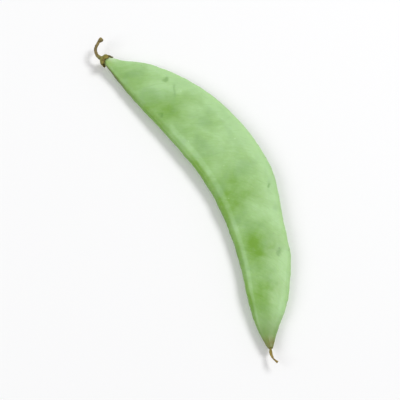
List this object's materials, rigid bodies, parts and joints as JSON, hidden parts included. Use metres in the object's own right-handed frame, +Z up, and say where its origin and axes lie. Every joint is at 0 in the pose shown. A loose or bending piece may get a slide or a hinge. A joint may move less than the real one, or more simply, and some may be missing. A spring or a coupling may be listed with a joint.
{
  "type": "hyacinth bean pod",
  "caption": "Flat sickle-shaped green bean pod with thick blunt edges, low seed swellings, a small dried calyx, a curled stalk and a thread-like dried style, lying on one face.",
  "frame": {"origin": "bottom centre of the box round the whole pod, on the surface that it lies on", "axes": "+X along the pod from its stalk to its style, +Y towards the convex outer edge, +Z up, out of the upper flat face"},
  "size_m": [0.1216, 0.0298, 0.0056],
  "materials": {
    "pod_skin": "satin",
    "dry_calyx": "matte",
    "dry_stalk": "matte",
    "dry_style": "matte"
  },
  "bodies": {
    "root": {"pod": "pod_skin", "calyx": "dry_calyx", "stalk": "dry_stalk", "style": "dry_style"}
  },
  "joints": []
}
